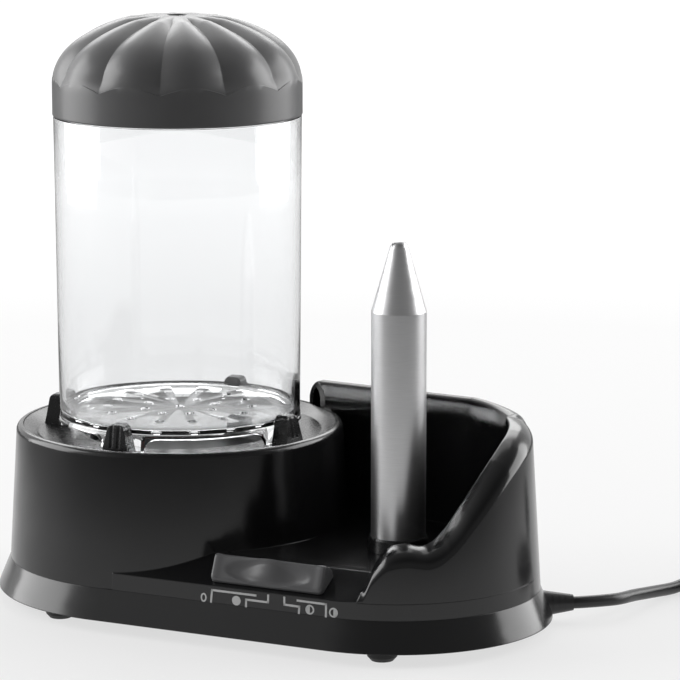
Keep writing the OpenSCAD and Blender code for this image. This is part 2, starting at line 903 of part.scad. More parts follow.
module knob_section() {
    back = knob_w / 2;
    polygon([
        [-back - 1, 0], [-back - 1, knob_front - 0.5], [0.9 - back, knob_front + 0.9],
        [knob_ridge - 1.4, knob_crown - 0.5], [knob_ridge, knob_crown], [knob_ridge + 1, knob_crown - 0.7],
        [back + 1, knob_front], [back + 1, 0]
    ]);
}

// Frame of the knob's steep front, at the middle of its face
module on_knob_face() {
    rise = knob_crown - 0.5 - knob_front - 0.9;
    run = knob_ridge - 1.4 + knob_w / 2 - 0.9;
    translate([0, knob_ridge - 1.4 - run / 2, knob_front + 0.9 + rise / 2])
        rotate([atan2(rise, run), 0, 0])
            children();
}

module switch_knob() {
    scoop_r = 30;
    hump_r = 30;
    color("#4a4b4d")
        on_slope(knob_x, slope_run / 2 - knob_down, knob_lift) {
            difference() {
                intersection() {
                    translate([-knob_l / 2 - 1, 0, 0])
                        rotate([90, 0, 90])
                            linear_extrude(knob_l + 2)
                                knob_section();
                    translate([0, 0, -1])
                        linear_extrude(20)
                            knob_outline();
                }
                on_knob_face()
                    for (x = [-13, 13])
                        translate([x, 0, scoop_r - 1.3])
                            rotate([90, 0, 0])
                                sphere(r = scoop_r);
            }
            intersection() {
                on_knob_face()
                    translate([0, 20, 1 - hump_r])
                        rotate([90, 0, 0])
                            cylinder(r = hump_r, h = 40);
                translate([-9, -knob_w / 2 + 2, 1])
                    cube([18, knob_w / 2 - 0.5, knob_crown - 0.2]);
            }
            translate([-4, knob_down - slot_w / 2, -shell - 3.4])
                cube([8, slot_w, shell + 4]);
        }
}

// Contact carriage under the slope, carried along by the knob's stem
module switch_carriage() {
    color("#c8b46a")
        on_slope(knob_x, slope_run / 2, -shell - 7)
            translate([-7, -3.5, 0])
                difference() {
                    cube([14, 7, 3.5]);
                    translate([3, 1, 1])
                        cube([8, 5, 3]);
                }
}

// Switch block screwed to two posts under the slope, with its four contacts
module switch_body() {
    color("#2b2c2e")
        on_slope(knob_x + travel / 2, slope_run / 2, -shell - 5 - bed)
            difference() {
                union() {
                    translate([-28, -5.5, -1.6])
                        cube([56, 11, 1.6]);
                    translate([-20, -5.5, -9])
                        cube([40, 11, 8]);
                    for (k = [0 : 3])
                        translate([-9.5 + k * 6, -2, -14])
                            cube([0.8, 4, 6]);
                }
                translate([-travel / 2 - 8, -3.8, -2.4])
                    cube([travel + 16, 7.6, 8]);
                for (x = [-24, 24])
                    translate([x, 0, -4])
                        cylinder(r = 1.5, h = 8);
            }
}

module switch_screws() {
    color("#b0b3b8")
        on_slope(knob_x + travel / 2, slope_run / 2, -shell - 5 - 1.6 - 2 * bed)
            for (x = [-24, 24])
                translate([x, 0, 0]) {
                    translate([0, 0, -1.6])
                        cylinder(r = 2.5, h = 1.6);
                    translate([0, 0, -0.1])
                        cylinder(r = 1.1, h = 6);
                }
}

// Terminal block on the bottom plate
plate_top = ride_height + shell + bed;
block_at = [18, 38];
module terminal_block() {
    color("#d8d6cf")
        translate([block_at[0], block_at[1], plate_top])
            difference() {
                translate([-16, -8, 0])
                    cube([32, 16, 12]);
                for (x = [-10, 0, 10])
                    translate([x, 0, 6])
                        rotate([90, 0, 0])
                            translate([0, 0, -10])
                                cylinder(r = 2, h = 20);
                translate([5, 0, -1])
                    cylinder(r = 1.8, h = 20);
            }
}

// Bar and screws that grip the cord inside the base
module at_clamp(z) {
    translate([tray_x, tray_y, z])
        rotate(cord_angle)
            translate([clamp_r, 0, 0])
                children();
}

clamp_top = clamp_z + cord_r + 2;
module cord_clamp() {
    color("#26272a")
        at_clamp(plate_top)
            difference() {
                translate([-5, -14, 0])
                    cube([10, 28, clamp_top - plate_top]);
                translate([-6, 0, clamp_z - plate_top])
                    rotate([0, 90, 0])
                        cylinder(r = cord_r + bed, h = 12);
                for (y = [-9.5, 9.5])
                    translate([0, y, -1])
                        cylinder(r = 1.7, h = 30);
            }
}

module clamp_screws() {
    color("#b0b3b8")
        at_clamp(clamp_top + bed)
            for (y = [-9.5, 9.5])
                translate([0, y, 0]) {
                    cylinder(r = 3, h = 2);
                    translate([0, 0, plate_top - clamp_top])
                        cylinder(r = 1.4, h = clamp_top - plate_top + 0.5);
                }
}

module base_screws() {
    color("#b0b3b8")
        for (s = screw_spots)
            translate([s[0], s[1], ride_height + 1.2 - bed]) {
                translate([0, 0, -1.1])
                    cylinder(r = 3.1, h = 1.1);
                translate([0, 0, -0.1])
                    cylinder(r = screw_r - 0.3, h = 16);
            }
}

module feet() {
    color("#0e0e0f")
        for (f = foot_spots)
            translate([f[0], f[1], 0])
                rotate_extrude() {
                    polygon([
                        [0, 0], [foot_rad - 2.2, 0], [foot_rad - 0.4, 2],
                        [foot_rad, ride_height + 0.7], [2.8, ride_height + 0.7],
                        [2.8, ride_height + shell + 0.6], [0, ride_height + shell + 0.6]
                    ]);
                }
}

// Moulded strain relief in the plinth's notch, tapering along the cord
module strain_relief() {
    color("#101113")
        translate([tray_x, tray_y, cord_z])
            rotate(cord_angle)
                translate([relief_r, 0, 0])
                    rotate([0, 90, 0])
                        difference() {
                            rotate_extrude()
                                polygon([
                                    [cord_r + bed, 0], [6.6, 0], [6.6, 3], [5.2, 3], [5.2, 5],
                                    [6.4, 5], [6.2, 8], [cord_r + 0.9, relief_l],
                                    [cord_r + bed, relief_l]
                                ]);
                            for (k = [0 : 3])
                                translate([0, 0, 11 + k * 3.2])
                                    rotate_extrude()
                                        translate([5.6 - k * 0.5, 0])
                                            square([4, 1.2]);
                        }
}

// Round tube along a list of points, none of whose runs is upright
function unit(v) = v / norm(v);
function along(path, i) =
    unit(path[min(len(path) - 1, i + 1)] - path[max(0, i - 1)]);
module sweep_tube(path, r, sides) {
    n = len(path);
    points = [
        for (i = [0 : n - 1])
            let (t = along(path, i), side = unit(cross(t, [0, 0, 1])), up = cross(side, t))
            for (k = [0 : sides - 1])
                path[i] + r * (cos(k * 360 / sides) * side + sin(k * 360 / sides) * up)
    ];
    skin = [
        for (i = [0 : n - 2])
            for (k = [0 : sides - 1])
                let (a = i * sides + k, b = i * sides + (k + 1) % sides)
                each [[a, b, b + sides], [a, b + sides, a + sides]]
    ];
    first = [for (k = [sides - 1 : -1 : 0]) k];
    last = [for (k = [0 : sides - 1]) (n - 1) * sides + k];
    polyhedron(points, concat(skin, [first, last]), convexity = 8);
}
function smooth_path(p, cuts) = concat(
    [
        for (i = [0 : len(p) - 2])
            for (k = [0 : cuts - 1])
                bend4(p[max(0, i - 1)], p[i], p[i + 1], p[min(len(p) - 1, i + 2)], k / cuts)
    ],
    [p[len(p) - 1]]
);

// Route of the cord: inside the base, straight out of the relief, then down to the table and away
function exit_point(r, z) = [tray_x + r * cos(cord_angle), tray_y + r * sin(cord_angle), z];
lay_z = cord_r + 0.1;
coil_low = cord_r + 1.7;
coil_start = [184, 140, coil_low];
coil_heading = 66;
coil_dir = [cos(coil_heading), sin(coil_heading), 0];
coil_join = coil_start - cord_d * coil_dir;
cord_route = [
    exit_point(clamp_r - 9, clamp_z), exit_point(clamp_r + 6, clamp_z), exit_point(clamp_r + 9, clamp_z),
    exit_point(relief_r - 4, cord_z), exit_point(relief_r, cord_z), exit_point(relief_r + 10, cord_z),
    exit_point(exit_r, cord_z), exit_point(exit_r + 5, cord_z), [159, 49.5, 8.4], [161.6, 66.3, 6.8],
    [164.6, 84, 4.8], [168.7, 103, lay_z], coil_join - 18 * coil_dir, coil_join - bed * coil_dir
];

// Put-away length: spirals in on the lower layer, climbs where it turns back, and out on the upper
coil_r = 37;
coil_pitch = cord_d + 0.6;
coil_turn = 1080;
coil_mid = coil_start - coil_r * [cos(coil_heading + 90), sin(coil_heading + 90), 0];
function coil_rad(a) = coil_r - coil_pitch * min(a, coil_turn - a) / 360;
function coil_z(a) =
    let (u = max(0, min(1, (a - coil_turn / 2 + 90) / 180)))
    coil_pitch * (1 - cos(180 * u)) / 2;
function coil_point(a) =
    coil_mid + [0, 0, coil_z(a)]
    + coil_rad(a) * [cos(coil_heading + 90 - a), sin(coil_heading + 90 - a), 0];
coil_end = coil_point(coil_turn);
coil_path = concat(
    [coil_join],
    [for (a = [0 : 15 : coil_turn]) coil_point(a)],
    [coil_end + cord_d * coil_dir]
);
coil_gap = min([
    for (i = [1 : len(coil_path) - 2])
        for (j = [i + 14 : 1 : len(coil_path) - 2])
            norm(coil_path[i] - coil_path[j])
]) - cord_d;
echo("least gap of the coil to itself", coil_gap);

plug_z = 18.8;
plug_at = [206, 189.5, plug_z];
tail_route = [
    coil_end + (cord_d + bed) * coil_dir, coil_end + 18 * coil_dir + [0, 0, 0.8],
    [plug_at[0] - 20 * coil_dir[0], plug_at[1] - 20 * coil_dir[1], plug_z - 1.4],
    [plug_at[0] - 6 * coil_dir[0], plug_at[1] - 6 * coil_dir[1], plug_z], plug_at
];

module power_cord() {
    color("#141416") {
        sweep_tube(smooth_path(cord_route, 4), cord_r, 12);
        sweep_tube(smooth_path(tail_route, 4), cord_r, 12);
    }
}

module cord_coil() {
    color("#141416")
        sweep_tube(coil_path, cord_r, 6);
}

// Flat tie round the coil, and the plug at the cord's end
module coil_tie() {
    tie_at = coil_heading - 90;
    inner = coil_r - coil_pitch * 1.5 - cord_r - 0.5;
    outer = coil_r - coil_pitch * 0.5 + cord_r + 0.6;
    color("#1c1c1e")
        translate([coil_mid[0], coil_mid[1], 0])
            rotate(tie_at)
                difference() {
                    translate([inner - 1, -4, coil_low - cord_r - 1.5])
                        cube([outer - inner + 2, 8, coil_pitch + cord_d + 3]);
                    translate([inner, -5, coil_low - cord_r - 0.5])
                        cube([outer - inner, 10, coil_pitch + cord_d + 1]);
                }
}

module at_plug() {
    translate(plug_at)
        rotate(coil_heading)
            rotate([0, 90, 0])
                children();
}

module plug_body() {
    color("#141416")
        at_plug()
            difference() {
                rotate_extrude()
                    polygon([
                        [cord_r + bed, -5], [4.6, -5], [6, 4], [13, 10], [13.5, 26], [18.4, 31],
                        [18.4, 40], [0, 40], [0, 0.3], [cord_r + bed, 0.3]
                    ]);
                for (side = [-1, 1])
                    translate([-3, side * 18.5 - 2.2, 32])
                        cube([6, 4.4, 10]);
            }
}

module plug_pins() {
    color("#c9b880")
        at_plug()
            for (side = [-1, 1])
                translate([side * 9.5, 0, 40 + bed / 2]) {
                    cylinder(r = 2.4, h = 17);
                    translate([0, 0, 17])
                        cylinder(r1 = 2.4, r2 = 1.5, h = 2);
                }
}

base_pan();
upper_housing();
tray_guard();
deck_ring();
heating_pan();
pan_seal();
heating_element();
thermostat();
thermal_fuse();
pan_clips();
clip_screws();
steam_tube();
lid();
spike();
spike_collar();
spike_heater();
spike_flange();
spike_screws();
switch_knob();
switch_carriage();
switch_body();
switch_screws();
terminal_block();
cord_clamp();
clamp_screws();
base_screws();
feet();
strain_relief();
power_cord();
cord_coil();
coil_tie();
plug_body();
plug_pins();
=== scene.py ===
# Table-top steamer with a warming spike, dressed for its picture.
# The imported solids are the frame; sizes here are in millimetres unless a line says otherwise.
import math

import bmesh
import bpy
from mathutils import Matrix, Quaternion, Vector


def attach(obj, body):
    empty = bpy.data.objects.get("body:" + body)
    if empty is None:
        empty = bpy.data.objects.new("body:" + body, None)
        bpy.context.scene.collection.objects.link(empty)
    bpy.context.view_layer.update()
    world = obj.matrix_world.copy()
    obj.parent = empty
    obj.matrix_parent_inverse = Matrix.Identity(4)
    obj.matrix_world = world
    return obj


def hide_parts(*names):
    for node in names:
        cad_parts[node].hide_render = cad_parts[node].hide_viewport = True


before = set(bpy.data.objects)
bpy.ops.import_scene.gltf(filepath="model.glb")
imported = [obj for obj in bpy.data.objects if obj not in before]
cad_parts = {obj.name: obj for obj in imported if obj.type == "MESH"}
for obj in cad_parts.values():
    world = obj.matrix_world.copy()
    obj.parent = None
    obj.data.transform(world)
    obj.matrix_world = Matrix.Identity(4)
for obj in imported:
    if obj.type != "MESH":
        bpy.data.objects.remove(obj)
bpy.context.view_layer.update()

# Camera: a long lens at the front right, a little above the table, with its places in metres.
# It stands 1.8 m from the drum and is turned slightly so that the cord runs out of the picture.
camera_yaw = math.radians(28.97175127)
camera_rise = math.radians(10.01672133)
camera_reach = 1.8
camera_pan = -0.04489957
camera_tilt = -0.00699191
focal_pixels, picture_pixels = 3632.272, 680
look_at = Vector((-0.0555, 0.0, 0.140))
towards_camera = Vector((
    math.sin(camera_yaw) * math.cos(camera_rise),
    -math.cos(camera_yaw) * math.cos(camera_rise),
    math.sin(camera_rise),
))
aim = -towards_camera
aim.rotate(Quaternion((0, 0, 1), camera_pan))
aim.rotate(Quaternion(aim.cross((0, 0, 1)).normalized(), camera_tilt))
lens = bpy.data.cameras.new("picture_lens")
lens.sensor_width = 36
lens.lens = focal_pixels / picture_pixels * lens.sensor_width
camera = bpy.data.objects.new("picture_camera", lens)
camera.location = look_at + camera_reach * towards_camera
camera.rotation_euler = aim.to_track_quat("-Z", "Y").to_euler()
bpy.context.scene.collection.objects.link(camera)
bpy.context.scene.camera = camera

# Mains lead: a round two-core flex in soft black PVC, 6 mm thick.
# It comes straight out of its relief, drops to the table, runs back past the tray,
# and the spare length lies in a flat two-layer coil under a tie, with the plug beside it.
MM = 0.001
cord_d = 6.0
cord_r = cord_d / 2
tray_x, tray_y = 70.5, -15.0
cord_angle = math.radians(33)
cord_z = 9.0
exit_r = 87.0


def exit_point(r):
    return Vector((tray_x + r * math.cos(cord_angle), tray_y + r * math.sin(cord_angle), cord_z))


def bend4(a, b, c, d, u):
    """A smooth step from b to c that keeps the run from a and the run on to d."""
    return b + u * ((c - a) / 2 + u * (a - 2.5 * b + 2 * c - d / 2 + u * (1.5 * (b - c) + (d - a) / 2)))


def smooth_path(route, cuts):
    last = len(route) - 1
    path = [
        bend4(route[max(0, i - 1)], route[i], route[i + 1], route[min(last, i + 2)], k / cuts)
        for i in range(last) for k in range(cuts)
    ]
    return path + [route[last]]


def part_way(value):
    """A share, held between nothing and the whole."""
    return max(0.0, min(1.0, value))


coil_heading = math.radians(66)
coil_dir = Vector((math.cos(coil_heading), math.sin(coil_heading), 0))
coil_side = Vector((-math.sin(coil_heading), math.cos(coil_heading), 0))
coil_start = Vector((184, 140, cord_r + 1.7))
coil_r, coil_pitch = 37.0, cord_d + 0.6
coil_turn, coil_step, climb_turn = 1080, 15, 180
coil_mid = coil_start - coil_r * coil_side


def coil_point(wound):
    """A point of the coil: in towards its middle on the lower layer, and out again on the upper one."""
    climb = part_way((wound - coil_turn / 2 + climb_turn / 2) / climb_turn)
    lift = coil_pitch * (1 - math.cos(math.pi * climb)) / 2
    radius = coil_r - coil_pitch * min(wound, coil_turn - wound) / 360
    bearing = coil_heading + math.radians(90 - wound)
    return coil_mid + Vector((radius * math.cos(bearing), radius * math.sin(bearing), lift))


coil_end = coil_point(coil_turn)
plug_at = Vector((206, 189.5, 18.8))
run_out = smooth_path([
    exit_point(exit_r - 3), exit_point(exit_r + 5), Vector((159, 49.5, 8.4)), Vector((161.6, 66.3, 6.8)),
    Vector((164.6, 84, 4.8)), Vector((168.7, 103, cord_r + 0.1)), coil_start - 24 * coil_dir,
    coil_start - cord_d * coil_dir,
], 3)
to_plug = smooth_path([
    coil_end + cord_d * coil_dir, coil_end + 18 * coil_dir + Vector((0, 0, 0.8)),
    plug_at - 20 * coil_dir - Vector((0, 0, 1.4)), plug_at - cord_d * coil_dir, plug_at,
], 2)
cord_line = run_out + [coil_point(a) for a in range(0, coil_turn + 1, coil_step)] + to_plug
lead = bpy.data.curves.new("mains_lead", "CURVE")
lead.dimensions = "3D"
lead.bevel_depth = cord_r * MM
lead.bevel_resolution = 6
lead.use_fill_caps = True
lead.resolution_u = 4
spline = lead.splines.new("BEZIER")
spline.bezier_points.add(len(cord_line) - 1)
for knot, place in zip(spline.bezier_points, cord_line):
    knot.co = place * MM
    knot.handle_left_type = knot.handle_right_type = "AUTO"
mains_lead = bpy.data.objects.new("mains_lead", lead)
bpy.context.scene.collection.objects.link(mains_lead)


class Wire:
    """A node's socket. Arithmetic on it adds Math nodes to the same material."""

    def __init__(self, socket):
        self.socket = socket

    def add(self, kind, settings=None, sockets=None, out=0):
        """Any node: its type, its settings, the values or links of its sockets, and the output wanted."""
        made = self.socket.id_data.nodes.new(kind)
        for name, value in (settings or {}).items():
            setattr(made, name, value)
        for name, value in (sockets or {}).items():
            if isinstance(value, Wire):
                made.id_data.links.new(value.socket, made.inputs[name])
            else:
                made.inputs[name].default_value = value
        return Wire(made.outputs[out])

    def feed(self, source):
        self.socket.id_data.links.new(source.socket, self.socket)

    def reckon(self, operation, first, second):
        return self.add("ShaderNodeMath", {"operation": operation}, {0: first, 1: second})

    def __add__(self, other):
        return self.reckon("ADD", self, other)

    def __radd__(self, other):
        return self.reckon("ADD", other, self)

    def __sub__(self, other):
        return self.reckon("SUBTRACT", self, other)

    def __rsub__(self, other):
        return self.reckon("SUBTRACT", other, self)

    def __mul__(self, other):
        return self.reckon("MULTIPLY", self, other)

    def __rmul__(self, other):
        return self.reckon("MULTIPLY", other, self)


def new_finish(name):
    """An empty material, and the socket that its surface goes into."""
    finish = bpy.data.materials.new(name)
    finish.use_nodes = True
    nodes = finish.node_tree.nodes
    nodes.remove(nodes["Principled BSDF"])
    return finish, Wire(nodes["Material Output"].inputs["Surface"])


skin_depth = 0.1 * MM


def moulded(name, colour, gloss, grain, skin, edge=0.0):
    """Moulded plastic or rubber: near-even colour, faint clouding, a fine skin, soft edges."""
    cloud, cloud_scale, plastic_ior = 0.12, 45.0, 1.5
    finish, surface = new_finish(name)
    place = surface.add("ShaderNodeTexCoord", out="Object")
    drift = surface.add("ShaderNodeTexNoise", None, {"Vector": place, "Scale": cloud_scale, "Detail": 3.0})
    fine = surface.add("ShaderNodeTexNoise", None, {"Vector": place, "Scale": grain, "Detail": 2.0})
    darker = [c * (1 - cloud) for c in colour] + [1]
    lighter = [c * (1 + cloud) for c in colour] + [1]
    tone = surface.add("ShaderNodeMix", {"data_type": "RGBA"}, {0: drift, 6: darker, 7: lighter}, 2)
    roughness = gloss + (drift - 0.5) * 0.06 + (fine - 0.5) * 0.08
    relief = {"Height": fine, "Strength": skin, "Distance": skin_depth}
    if edge:
        relief["Normal"] = surface.add("ShaderNodeBevel", {"samples": 6}, {"Radius": edge * MM})
    bump = surface.add("ShaderNodeBump", None, relief)
    surface.feed(surface.add("ShaderNodeBsdfPrincipled", None, {
        "Base Color": tone, "Roughness": roughness, "IOR": plastic_ior, "Normal": bump,
    }))
    return finish


def smooth_below(mesh, crease):
    """Smooth shading, apart from edges sharper than the crease, in degrees."""
    mesh.polygons.foreach_set("use_smooth", [True] * len(mesh.polygons))
    mesh.set_sharp_from_angle(angle=math.radians(crease))


def dress(finish, *nodes):
    """Gives solids of the frame a finish, with smooth curves and crisp edges."""
    for node in nodes:
        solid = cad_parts[node]
        solid.data.materials.clear()
        solid.data.materials.append(finish)
        smooth_below(solid.data, 30)
        solid.modifiers.new("even_shading", "WEIGHTED_NORMAL").keep_sharp = True


cord_rubber = moulded("cord_rubber", (0.012, 0.012, 0.013), 0.36, 2600.0, 0.25)
lead.materials.append(cord_rubber)
dress(cord_rubber, "strain_relief", "coil_tie", "plug_body")
pin_brass, surface = new_finish("pin_brass")
place = surface.add("ShaderNodeTexCoord", out="Object")
rub = surface.add("ShaderNodeTexNoise", None, {"Vector": place, "Scale": 900.0, "Detail": 4.0})
surface.feed(surface.add("ShaderNodeBsdfPrincipled", None, {
    "Base Color": (0.70, 0.60, 0.36, 1), "Metallic": 1.0, "Roughness": 0.18 + rub * 0.2,
}))
dress(pin_brass, "plug_pins")
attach(mains_lead, "base")
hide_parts("power_cord", "cord_coil")
lead_length = sum((b - a).length for a, b in zip(cord_line, cord_line[1:])) * MM
tuple(cord_line[0] * MM)

# Plinth: the lower shell, a flared black pan with a bottom plate, screwed up into the housing.
# It stands on four pressed-in rubber feet; the lead is gripped inside by a bar with two screws.
gloss_black = moulded("gloss_black", (0.0075, 0.0075, 0.008), 0.18, 1400.0, 0.02, edge=0.6)
foot_rubber = moulded("foot_rubber", (0.012, 0.012, 0.012), 0.6, 2200.0, 0.5)
inner_plastic = moulded("inner_plastic", (0.03, 0.03, 0.032), 0.45, 1800.0, 0.2)
terminal_plastic = moulded("terminal_plastic", (0.62, 0.60, 0.54), 0.4, 1500.0, 0.15)


def drawn_metal(name, colour, roughness, streak, along, bite):
    """Metal with fine lines left by its making; along gives the way that the lines run."""
    stretch, drift_scale = 0.03, 60.0
    finish, surface = new_finish(name)
    place = surface.add("ShaderNodeTexCoord", out="Object")
    squeeze = [stretch if way else 1.0 for way in along]
    lined = surface.add("ShaderNodeMapping", None, {"Vector": place, "Scale": squeeze})
    lines = surface.add("ShaderNodeTexNoise", None, {"Vector": lined, "Scale": streak, "Detail": 4.0})
    drift = surface.add("ShaderNodeTexNoise", None, {"Vector": place, "Scale": drift_scale, "Detail": 2.0})
    darker = [c * 0.86 for c in colour] + [1]
    lighter = [min(1.0, c * 1.08) for c in colour] + [1]
    tone = surface.add("ShaderNodeMix", {"data_type": "RGBA"}, {0: lines, 6: darker, 7: lighter}, 2)
    bump = surface.add("ShaderNodeBump", None, {"Height": lines, "Strength": bite, "Distance": skin_depth})
    surface.feed(surface.add("ShaderNodeBsdfPrincipled", None, {
        "Base Color": tone, "Metallic": 1.0,
        "Roughness": roughness + (lines - 0.5) * 0.16 + (drift - 0.5) * 0.08, "Normal": bump,
    }))
    return finish


zinc_steel = drawn_metal("zinc_steel", (0.60, 0.62, 0.65), 0.32, 1500.0, (0, 0, 1), 0.1)
dress(gloss_black, "base_pan")
dress(foot_rubber, "feet")
dress(zinc_steel, "base_screws", "clamp_screws")
dress(inner_plastic, "cord_clamp")
dress(terminal_plastic, "terminal_block")

# Upper housing: drum, tray floor, switch slope and back wall in one glossy black moulding.
# It drops over the lip of the plinth and is held from below by five screws.
dress(gloss_black, "upper_housing")

# Tray guard: a hollow black wall wrapped round the tray, clipped into the housing.
# Its outer top edge is rounded over; inside, a soft ledge runs along the back and stops short.
# Its top line is a list of bearings in degrees and heights.
drum_x = -55.5
tray_r, strip_foot, draft = 70.04, 20.5, 0.06
guard_inner, guard_foot, wrap_foot, rim_round, skin_t, lap = 54.0, 28.55, 20.6, 8.7, 2.4, 0.03
guard_start, end_gap, end_lap, guard_steps = -78.0, 0.6, 0.5, 260
guard_end = 90 + 2 * math.degrees(math.atan2(tray_y, tray_x - drum_x)) - end_gap
guard_line = [
    (-78, 36), (-74, 45), (-68, 52), (-60, 54), (-50, 53), (-42, 58), (-31, 70),
    (-20, 81), (-10, 89), (2, 95.3), (16, 98.8), (34, 100.8), (56, 101.9), (guard_end, 103.24),
]
nose_reach, nose_foot = 1.4, guard_foot + 0.8
ledge_from, ledge_fade = 36.0, 6.0
thin_brow, brow_spread, brow_drop = 0.9, 4.9, 8.3
least_rim, least_brow, least_inner, least_outer = (guard_foot + rise for rise in (0.6, 0.2, 0.4, 0.3))


def guard_height(angle):
    if angle < guard_start:
        share = min(1.0, (guard_start - angle) / nose_reach)
        return nose_foot + (guard_line[0][1] - nose_foot) * math.sqrt(max(0.0, 1 - share * share))
    last = len(guard_line) - 1
    i = max(k for k in range(last) if k == 0 or guard_line[k][0] < angle)
    u = (angle - guard_line[i][0]) / (guard_line[i + 1][0] - guard_line[i][0])
    return bend4(*[guard_line[max(0, min(last, i + k))][1] for k in (-1, 0, 1, 2)], u)


def tray_wall(z):
    return tray_r - (z - strip_foot) * draft


def eased(value):
    """A share that starts and ends softly."""
    share = part_way(value)
    return share * share * (3 - 2 * share)


def guard_section(angle):
    """Closed outline of the wall at one bearing: outer wrap, rounded rim, ledge, and the hollow inside."""
    high = guard_height(angle)
    round_z = max(least_rim, high - rim_round)
    outer = tray_wall(round_z)
    ledge = eased((angle - ledge_from) / ledge_fade)
    brow_w, brow_h = thin_brow + brow_spread * ledge, thin_brow + brow_drop * ledge
    crown = guard_inner + brow_w
    foot_r, wrap_r = tray_wall(guard_foot), tray_wall(wrap_foot)
    section = [(foot_r - lap, guard_foot), (wrap_r - lap, wrap_foot), (wrap_r, wrap_foot), (foot_r, guard_foot)]
    for lean in map(math.radians, range(0, 91, 6)):
        out, up = math.cos(lean), math.sin(lean)
        section.append((crown + (outer - crown) * out, round_z + (high - round_z) * up))
    for lean in map(math.radians, range(15, 91, 15)):
        drop = brow_h * (1 - math.cos(lean))
        section.append((crown - brow_w * math.sin(lean), max(least_brow, high - drop)))
    return section + [
        (guard_inner, guard_foot), (guard_inner + skin_t, guard_foot),
        (guard_inner + skin_t, max(least_inner, high - brow_h - 1)),
        (outer - skin_t, max(least_outer, round_z - 1)), (foot_r - skin_t, guard_foot),
    ]


def piece_from(name, points, faces, finish, crease=30):
    """A mesh piece from points in millimetres, its faces turned outwards."""
    mesh = bpy.data.meshes.new(name)
    mesh.from_pydata([Vector(p) * MM for p in points], [], faces)
    work = bmesh.new()
    work.from_mesh(mesh)
    bmesh.ops.recalc_face_normals(work, faces=work.faces)
    work.to_mesh(mesh)
    work.free()
    smooth_below(mesh, crease)
    mesh.materials.append(finish)
    piece = bpy.data.objects.new(name, mesh)
    bpy.context.scene.collection.objects.link(piece)
    return piece


def skin_faces(rows, n, closed):
    """Four-sided faces over rows of n points, each row a ring; the end rows are joined up or capped."""
    sides = [
        (i * n + j, i * n + (j + 1) % n, (i + 1) % rows * n + (j + 1) % n, (i + 1) % rows * n + j)
        for i in range(rows if closed else rows - 1) for j in range(n)
    ]
    return sides if closed else sides + [tuple(range(n)), tuple((rows - 1) * n + j for j in range(n))]


guard_angles = [guard_start - nose_reach * k for k in (0.999, 0.96, 0.88, 0.75, 0.55, 0.3)]
guard_angles += [
    guard_start + (guard_end + end_lap - guard_start) * i / guard_steps for i in range(guard_steps + 1)
]
guard_points = [
    (tray_x + r * math.cos(math.radians(a)), tray_y + r * math.sin(math.radians(a)), z)
    for a in guard_angles for r, z in guard_section(a)
]
guard_faces = skin_faces(len(guard_angles), len(guard_section(0)), False)
guard_wall = piece_from("guard_wall", guard_points, guard_faces, gloss_black, crease=40)
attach(guard_wall, "base")
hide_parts("tray_guard")

# Switch marks: light grey pad print on the upright strip under the switch.
# An off mark, a full dot and two half dots, with bracket lines that lead to the knob's stops.
mark_ink = moulded("mark_ink", (0.66, 0.66, 0.66), 0.5, 3000.0, 0.1)
ink_t, ink_root, stroke, pin_hole = 0.05, 0.03, 1.0, 0.02
strip_x, strip_y = 0.6, -84.95
dot_r, mark_rim, half_z = 2.3, 0.75, 23.0
core_r = dot_r - mark_rim * 0.6
brackets = [
    [(6.8, 20.9), (7.2, 26.5), (30.4, 26.5)],
    [(25.5, 20.6), (25.5, 24.0), (37.1, 24.0), (37.1, 27.2)],
    [(45.6, 27.2), (45.7, 23.9), (53.6, 23.8), (53.4, 20.6)],
    [(52.6, 26.6), (67.5, 26.5), (67.5, 20.6)],
]


def on_strip(x, z, out):
    return (x + strip_x, strip_y + (z - strip_foot) * draft - out, z)


def printed(outer, inner):
    """A thin solid mark between an outer and an inner rim of as many points."""
    rims = ((outer, -ink_root), (outer, ink_t), (inner, ink_t), (inner, -ink_root))
    return [on_strip(x, z, lift) for rim, lift in rims for x, z in rim], skin_faces(4, len(outer), True)


def joined(shapes):
    """One list of points and one of faces, out of several shapes' own."""
    points, faces = [], []
    for own_points, own_faces in shapes:
        faces += [tuple(len(points) + j for j in face) for face in own_faces]
        points += own_points
    return points, faces


def ring_outline(x, z, wide, high, thick, steps=40):
    rim = [math.radians(360 * k / steps) for k in range(steps)]
    outer = [(x + wide * math.cos(t), z + high * math.sin(t)) for t in rim]
    inner = [(x + (wide - thick) * math.cos(t), z + (high - thick) * math.sin(t)) for t in rim]
    return outer, inner


def drawn_in(point, middle):
    """A rim point brought in to just beside a middle point, so that its mark is filled."""
    return tuple(m + (p - m) * pin_hole for p, m in zip(point, middle))


def bar_outline(start, end):
    """One straight stroke, square at its ends, filled in to its middle line."""
    (ax, az), (bx, bz) = start, end
    long = math.hypot(bx - ax, bz - az)
    ux, uz = (bx - ax) / long * stroke / 2, (bz - az) / long * stroke / 2
    outer = [(ax - ux - uz, az - uz + ux), (ax - ux + uz, az - uz - ux),
             (bx + ux + uz, bz + uz - ux), (bx + ux - uz, bz + uz + ux)]
    return outer, [drawn_in(corner, middle) for corner, middle in zip(outer, (start, start, end, end))]


